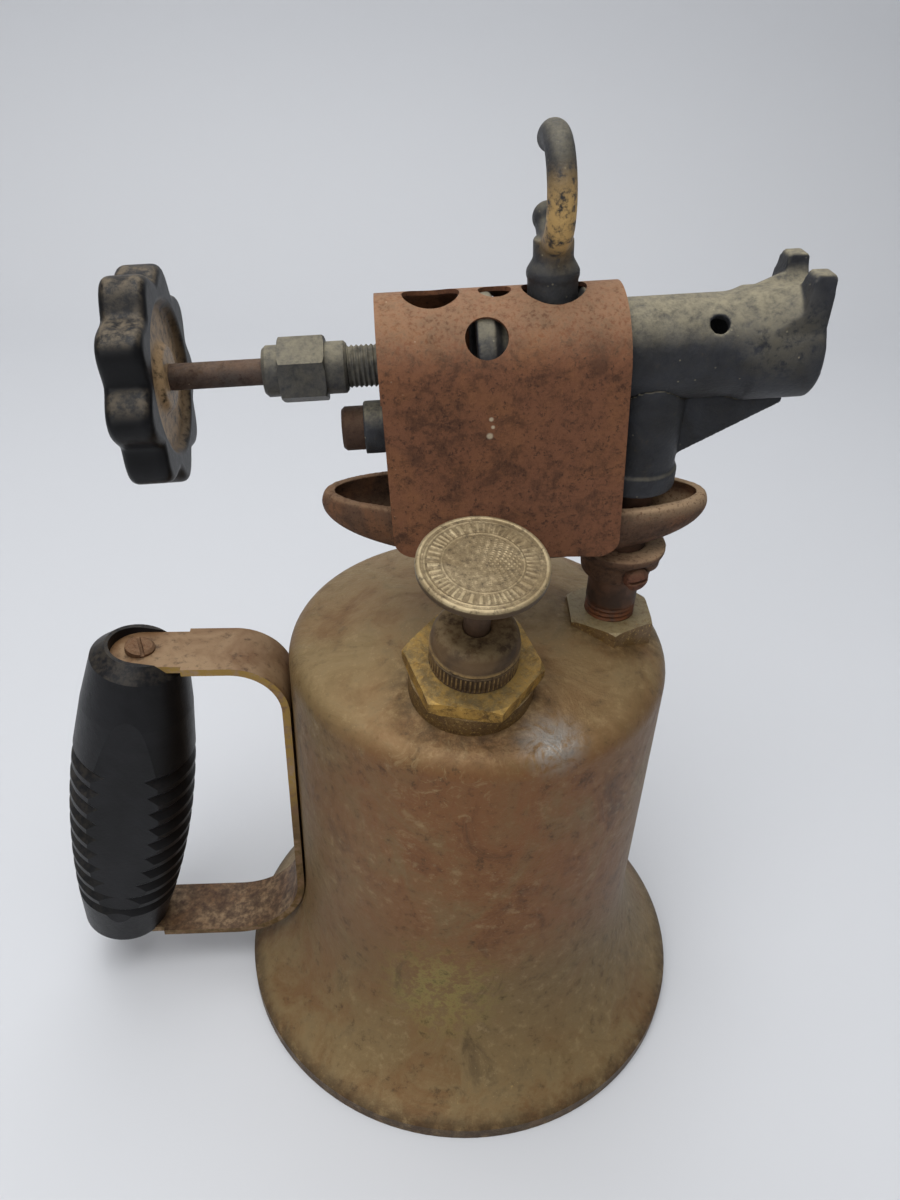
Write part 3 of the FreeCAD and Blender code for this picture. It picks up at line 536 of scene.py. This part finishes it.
def pipeFinish():
    look = pipeLook
    f = Finish("blackFeedPipe", 0.1, 0.6, 0.3)
    fine = f.noise(2.6, 8, 0.7)
    broad = f.noise(10, 4, 0.6)
    colour = f.over(f.ramp(broad, 0.4, 0.66), look["dark"], look["brown"])
    foot = f.times(f.along("Z", 150, 146), f.ramp(fine, 0.3, 0.56, 0.95))
    colour = f.over(foot, colour, look["foot"])
    colour = f.over(f.ramp(fine, 0.62, 0.74, 0.7), colour, look["rust"])
    return f.done(colour, f.between(fine, 0.4, 0.85), f.bump(fine, 0.2))


standsFor(nipplePiece(), "stuffing_nipple", "tank")
standsFor(pipePiece(), "standpipe", "tank")
paint(pipeFinish(), "feedPipe")
print("threads made")


# burner castings, packing nut and the hook for a soldering iron: dark bronze with pale dust on top, and a
# painted sheen on the tube by the nozzle

# node, cell in millimetres and rounds of softening
castShape = {
    "burnerTube": ("burner_tube", 0.46, 3), "burnerCasting": ("burner_casting", 0.46, 3),
    "ironHook": ("hook", 0.36, 6),
}
castLook = {
    "dark": rgb(26, 27, 31), "grey": rgb(44, 46, 52), "dust": rgb(146, 138, 116), "brown": rgb(66, 54, 42),
    "gold": rgb(200, 164, 104), "goldAt": (13.2, -9.5, 250), "nozzleSheenAt": (63, -11, 227), "patchReach": 13.5,
}


def castFinish(name, dustiness, paleness, patch=None, patchAt=None, patchShare=1.0):
    look = castLook
    f = Finish(name, 0.0, 0.5, 0.22)
    broad = f.noise(14, 5, 0.6, warp=0.4)
    fine = f.noise(2.4, 9, 0.74)
    grain = f.noise(0.8, 3, 0.6)
    colour = f.over(f.ramp(broad, 0.34, 0.66), look["dark"], look["grey"])
    colour = f.over(f.ramp(fine, 0.58, 0.72, 0.5), colour, look["brown"])
    colour = f.over(f.ramp(fine, 0.2, 0.7, paleness), colour, look["dust"])
    dusty = f.times(f.facing("Z", 0.25, 1.0), f.ramp(fine, 0.16, 0.7, dustiness))
    colour = f.over(dusty, colour, look["dust"])
    specks = f.times(f.ramp(f.cells(3.1), 0.1, 0.04, 0.8), f.ramp(broad, 0.46, 0.6))
    colour = f.over(specks, colour, look["dust"])
    if patch:
        # one colour laid near one point: a gold patch on the hook, and a painted sheen in the dust colour on
        # the tube by the nozzle
        patchy = f.times(f.near(look[patchAt], look["patchReach"], 0.8), f.ramp(fine, 0.36, 0.54, patchShare))
        colour = f.over(patchy, colour, look[patch])
    rough = f.between(f.math("ADD", f.times(fine, 0.6), f.times(dusty, 0.6)), 0.32, 0.85)
    normal = f.bump(fine, 0.3, f.bump(grain, 0.14))
    return f.done(colour, rough, normal)


for pieceName, (nodeName, cell, rounds) in castShape.items():
    standsFor(softPiece(pieceName, nodeName, cell, rounds), nodeName, "tank")
# the tube: real dust on top, and a pale painted sheen by the nozzle
paint(castFinish("dustAndSheenTubeBronze", 0.95, 0.04, "dust", "nozzleSheenAt", 0.2), "burnerTube")
paint(castFinish("darkColumnBronze", 0.85, 0.04), "burnerCasting")
paint(castFinish("hookBronze", 0.5, 0.08, "gold", "goldAt", 0.95), "ironHook")
paint(castFinish("nutBronze", 0.7, 0.24), "packing_nut", "packing_gland", "stuffingNipple")
print("casting painted")


# rust: hood, drip cup, plug, screws and stem

cupShape = {"cell": 0.5, "rounds": 5}
rustLook = {
    "orange": rgb(131, 88, 58), "dark": rgb(50, 36, 29), "dust": rgb(156, 126, 98),
    "speck": rgb(192, 178, 152), "cupDust": rgb(182, 154, 122),
    "drips": (((-2.1, -15.9, 204.4), 1.0), ((-1.5, -15.9, 206.6), 0.6), ((-2.0, -15.9, 208.5), 0.7),
              ((5.6, -14, 231.0), 1.0)),
    "stainAt": (-13.6, -16, 207), "cupDustAt": (47, -2, 180),
}


def rustFinish(name, brown, darkness, dustiness, metallic=0.05, pitted=0.3, redness=1.0):
    look = rustLook
    f = Finish(name, metallic, 0.7, 0.2)
    broad = f.noise(20, 6, 0.66, warp=0.9)
    mottle = f.noise(3.0, 10, 0.78)
    grit = f.noise(1.1, 5, 0.72)
    colour = f.over(f.ramp(broad, 0.4, 0.68, 0.65 * redness), brown, look["orange"])
    colour = f.over(f.ramp(mottle, 0.46, 0.66, darkness), colour, look["dark"])
    patches = f.noise(9, 8, 0.74, warp=0.4)
    colour = f.over(f.ramp(patches, 0.48, 0.66, darkness), colour, look["dark"])
    colour = f.over(f.ramp(grit, 0.54, 0.66, 0.7), colour, look["dark"])
    colour = f.over(f.ramp(grit, 0.4, 0.28, 0.6 * redness), colour, look["orange"])
    stain = f.times(f.near(look["stainAt"], 9, 0.9), f.ramp(mottle, 0.36, 0.56, 0.6))
    colour = f.over(stain, colour, look["dark"])
    dusty = f.times(f.facing("Z", 0.1, 0.9), f.ramp(grit, 0.3, 0.56, dustiness))
    colour = f.over(dusty, colour, look["dust"])
    specks = f.times(f.ramp(f.cells(2.6), 0.1, 0.04, 0.8), f.ramp(broad, 0.54, 0.66))
    colour = f.over(specks, colour, look["speck"])
    for drip, reach in look["drips"]:
        colour = f.over(f.times(f.near(drip, reach, 0.6), 0.75), colour, look["speck"])
    cupDust = f.times(f.near(look["cupDustAt"], 21, 0.5), f.facing("Z", -0.2, 0.5))
    cupDust = f.times(cupDust, f.ramp(grit, 0.3, 0.5, 0.9))
    colour = f.over(cupDust, colour, look["cupDust"])
    normal = f.bump(mottle, pitted, f.bump(grit, 0.2))
    return f.done(colour, f.between(mottle, 0.5, 0.95), normal)


dripCup = softPiece("dripCup", "drip_cup", cupShape["cell"], cupShape["rounds"])
standsFor(dripCup, "drip_cup", "tank")
paint(rustFinish("rustyHoodSheet", rgb(118, 78, 56), 0.55, 0.55), "hood")
paint(rustFinish("rustyCupIron", rgb(92, 68, 52), 0.65, 0.6, 0.05, 0.5), "dripCup")
paint(rustFinish("rustyPlugIron", rgb(68, 50, 40), 0.8, 0.15, 0.05, 0.3, 0.4), "cleanout_plug")
paint(rustFinish("rustyCupScrew", rgb(104, 68, 52), 0.6, 0.3, 0.05, 0.3, 0.8), "cup_screw")
stemNodes = ("valve_stem", "handwheel_screw")
paint(rustFinish("rustyStemSteel", rgb(74, 66, 62), 0.7, 0.2, 0.2, 0.3, 0.3), *stemNodes)
print("rust painted")


# handle strap and its screw: brown copper-coloured faces with bare edges, and painted shadow on the lower
# strap

strapLook = {
    "brown": rgb(116, 86, 58), "dark": rgb(64, 46, 34), "edge": rgb(150, 120, 56),
    "pale": rgb(148, 122, 92),
}


def strapFinish():
    look = strapLook
    f = Finish("brownStrapBrass", 0.25, 0.5, 0.3)
    broad = f.noise(14, 5, 0.6, warp=0.5)
    fine = f.noise(2.6, 8, 0.7)
    colour = f.over(f.ramp(broad, 0.36, 0.66), look["brown"], look["pale"])
    colour = f.over(f.ramp(fine, 0.52, 0.7, 0.7), colour, look["dark"])
    edges = f.math("ADD", f.facing("Y", -0.6, -0.98), f.facing("Y", 0.6, 0.98))
    colour = f.over(f.times(edges, f.ramp(fine, 0.4, 0.56, 0.9)), colour, look["edge"])
    # darker towards the bottom: painted shadow of the grip and the tank on the lower strap
    colour = f.over(f.times(f.along("Z", 90, 66), f.ramp(fine, 0.3, 0.6, 0.8)), colour, look["dark"])
    return f.done(colour, f.between(fine, 0.3, 0.66), f.bump(fine, 0.12))


paint(strapFinish(), "handle_strap")
paint(rustFinish("rustyScrewSteel", rgb(96, 70, 50), 0.7, 0.4, 0.4), "handle_screw")
print("strap painted")


# black plastic: grip and handwheel, dusty on top

wheelShape = {
    "radius": 25.5, "valley": 21.9, "front": -75.3, "rear": -85.4, "recess": 17.6, "stem": 3.05,
    "stemRear": -83.2, "pocket": 9.0, "hub": 7.0, "recessDeep": 2.0, "lobes": 9, "crest": -7.0,
    "turns": 360, "edge": 2.4, "stainReach": 18.5,
}


def wheelPiece():
    w = wheelShape
    front, rear = w["front"], w["rear"]
    hubFront, recessFloor = front - 0.4, front - w["recessDeep"]
    corners = [(w["stem"], hubFront), (w["hub"], hubFront), (w["hub"] + 1.5, recessFloor),
               (w["recess"] - 1.5, recessFloor), (w["recess"], front), (w["radius"], front),
               (w["radius"], rear), (w["pocket"], rear), (w["pocket"], w["stemRear"]),
               (w["stem"], w["stemRear"])]
    radii = [0, 0.6, 0.8, 0.7, 0.7, w["edge"], w["edge"], 0.6, 0.2, 0]
    line = resampled(eased(corners, radii, True, 7), 0.7, True)
    radius, height, angle = turnedGrid(line, w["turns"])
    # rim radius swings between crest and valley with a flattened cosine; the recess stays round
    swing = 0.5 + 0.5 * np.cos(w["lobes"] * (angle - math.radians(w["crest"])))
    sink = (w["radius"] - w["valley"]) * (1 - swing ** 0.85)
    share = np.clip((radius - w["recess"] - 0.4) / (w["radius"] - w["edge"] - w["recess"]), 0, 1)
    radius = radius - share * sink
    return turnedPiece("handWheel", radius, height, angle, tubeAxes, True, 50)


plasticLook = {
    "black": rgb(12, 12, 14), "grey": rgb(26, 26, 29), "dust": rgb(116, 104, 86),
    "stain": rgb(178, 148, 110),
}


def plasticFinish(name, dustiness, stainAt=None, stainReach=0):
    look = plasticLook
    f = Finish(name, 0.0, 0.45, 0.2)
    broad = f.noise(18, 4, 0.6)
    fine = f.noise(2.2, 8, 0.7)
    grain = f.noise(0.7, 3, 0.6)
    colour = f.over(f.ramp(broad, 0.4, 0.64, 0.6), look["black"], look["grey"])
    dusty = f.times(f.facing("Z", 0.3, 0.95), f.ramp(fine, 0.38, 0.64, dustiness))
    colour = f.over(dusty, colour, look["dust"])
    colour = f.over(f.ramp(fine, 0.68, 0.78, 0.3), colour, look["dust"])
    if stainAt:
        stain = f.times(f.near(stainAt, stainReach, 0.25), f.ramp(fine, 0.3, 0.56, 0.9))
        colour = f.over(stain, colour, look["stain"])
    rough = f.between(f.math("ADD", f.times(fine, 0.5), f.times(dusty, 0.5)), 0.28, 0.75)
    return f.done(colour, rough, f.bump(f.math("ADD", fine, f.times(grain, 0.4)), 0.08))


standsFor(wheelPiece(), "handwheel", "handwheel")
wheelMiddle = tubeAxes["origin"] + tubeAxes["turn"][2] * (wheelShape["front"] + 1) * mm
wheelStain = (tuple(wheelMiddle / mm), wheelShape["stainReach"])
paint(plasticFinish("dustyWheelPlastic", 0.7, *wheelStain), "handWheel")
paint(plasticFinish("blackGripPlastic", 0.2), "handle_grip")
print("plastic painted")


# inner pieces that show only when the torch is taken apart


def plainFinish(name, colour, metallic, roughness, grain):
    f = Finish(name, metallic, roughness)
    fine = f.noise(grain, 6, 0.65)
    darker = tuple(0.5 * c for c in colour[:3]) + (1.0,)
    rough = f.between(fine, roughness * 0.8, min(1.0, roughness * 1.4))
    return f.done(f.over(f.ramp(fine, 0.35, 0.7, 0.5), colour, darker), rough, f.bump(fine, 0.06))


paint(plainFinish("plainSteel", rgb(150, 146, 138), 0.9, 0.3, 2.0), "check_valve_spring", "valve_needle")
paint(plainFinish("wornRodSteel", rgb(84, 62, 44), 0.4, 0.5, 1.6), "pump_rod")
paint(plainFinish("oiledLeather", rgb(96, 64, 38), 0.0, 0.6, 1.2), "pump_leather", "filler_gasket")
paint(plainFinish("blackRubber", rgb(34, 34, 34), 0.0, 0.7, 1.0), "check_valve_disc")
paint(plainFinish("wovenPacking", rgb(120, 112, 96), 0.0, 0.9, 0.6), "packing_ring")
print("inner pieces painted")


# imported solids: smooth inside each face, crisp between faces, and no faces of zero area at the poles


def tidied(mesh):
    solid = bmesh.new()
    solid.from_mesh(mesh)
    empty = [face for face in solid.faces if face.calc_area() < emptyArea]
    if empty:
        bmesh.ops.delete(solid, geom=empty, context="FACES")
        solid.to_mesh(mesh)
    solid.free()
    mesh.shade_smooth()


for node in nodes.values():
    tidied(node.data)
print("solids shaded")


# floor, light and camera

stageSetup = {
    "floorHalf": 5.0, "back": 0.62, "bend": 0.25, "height": 3.0, "floorColour": rgb(206, 208, 212),
    "sky": rgb(226, 228, 231), "skyStrength": 0.3,
    "lamps": (("topLight", (-0.15, -0.25, 1.25), 0.9, 12.0), ("fillLight", (-0.6, -0.9, 0.7), 0.8, 3.2),
              ("backLight", (-0.1, 0.5, 1.2), 0.8, 3.6)),
    "aim": (0.0, 0.0, 0.13),
}
cameraSetup = {
    "at": (-27.4, -215.7, 298.7), "right": (0.9974, -0.0649, 0.0333), "up": (0.0100, 0.5733, 0.8193),
    "forward": (0.0723, 0.8168, -0.5724), "lens": 28.72,
}


def floorPiece():
    # flat floor that bends up into a backdrop: a quarter circle swept along x
    s = stageSetup
    t = np.linspace(0, np.pi / 2, 16)
    y = np.concatenate([[-s["floorHalf"]], s["back"] + s["bend"] * np.sin(t), [s["back"] + s["bend"]]])
    z = np.concatenate([[0.0], s["bend"] * (1 - np.cos(t)), [s["height"]]])
    x = np.array([-s["floorHalf"], s["floorHalf"]])
    points = np.stack([np.repeat(x, len(y)), np.tile(y, 2), np.tile(z, 2)], 1)
    i = np.arange(len(y) - 1)
    quads = np.stack([i, i + len(y), i + len(y) + 1, i + 1], 1)
    mesh = bpy.data.meshes.new("paleFloor")
    mesh.from_pydata(points.tolist(), [], quads.tolist())
    mesh.shade_smooth()
    piece = bpy.data.objects.new("paleFloor", mesh)
    bpy.context.scene.collection.objects.link(piece)
    finish = Finish("paleFloor", 0.0, 0.7)
    mesh.materials.append(finish.done(s["floorColour"]))


def lampPieces():
    s = stageSetup
    for name, at, size, power in s["lamps"]:
        lamp = bpy.data.lights.new(name, "AREA")
        lamp.size = size
        lamp.energy = power
        holder = bpy.data.objects.new(name, lamp)
        holder.location = at
        holder.rotation_euler = (Vector(s["aim"]) - Vector(at)).to_track_quat("-Z", "Y").to_euler()
        bpy.context.scene.collection.objects.link(holder)
    world = bpy.data.worlds.new("softRoom")
    world.use_nodes = True
    back = world.node_tree.nodes["Background"]
    back.inputs["Color"].default_value = s["sky"]
    back.inputs["Strength"].default_value = s["skyStrength"]
    bpy.context.scene.world = world


def photoCamera():
    c = cameraSetup
    camera = bpy.data.cameras.new("photoCamera")
    camera.lens = c["lens"]
    camera.sensor_width = 36.0
    camera.clip_start = 0.01
    holder = bpy.data.objects.new("photoCamera", camera)
    right, up, back = Vector(c["right"]), Vector(c["up"]), -Vector(c["forward"])
    turn = Matrix((right, up, back)).transposed().to_4x4()
    holder.matrix_world = Matrix.Translation(Vector(c["at"]) * mm) @ turn
    bpy.context.scene.collection.objects.link(holder)
    bpy.context.scene.camera = holder


floorPiece()
lampPieces()
photoCamera()
bpy.context.scene.view_settings.view_transform = "Standard"
print("stage set")
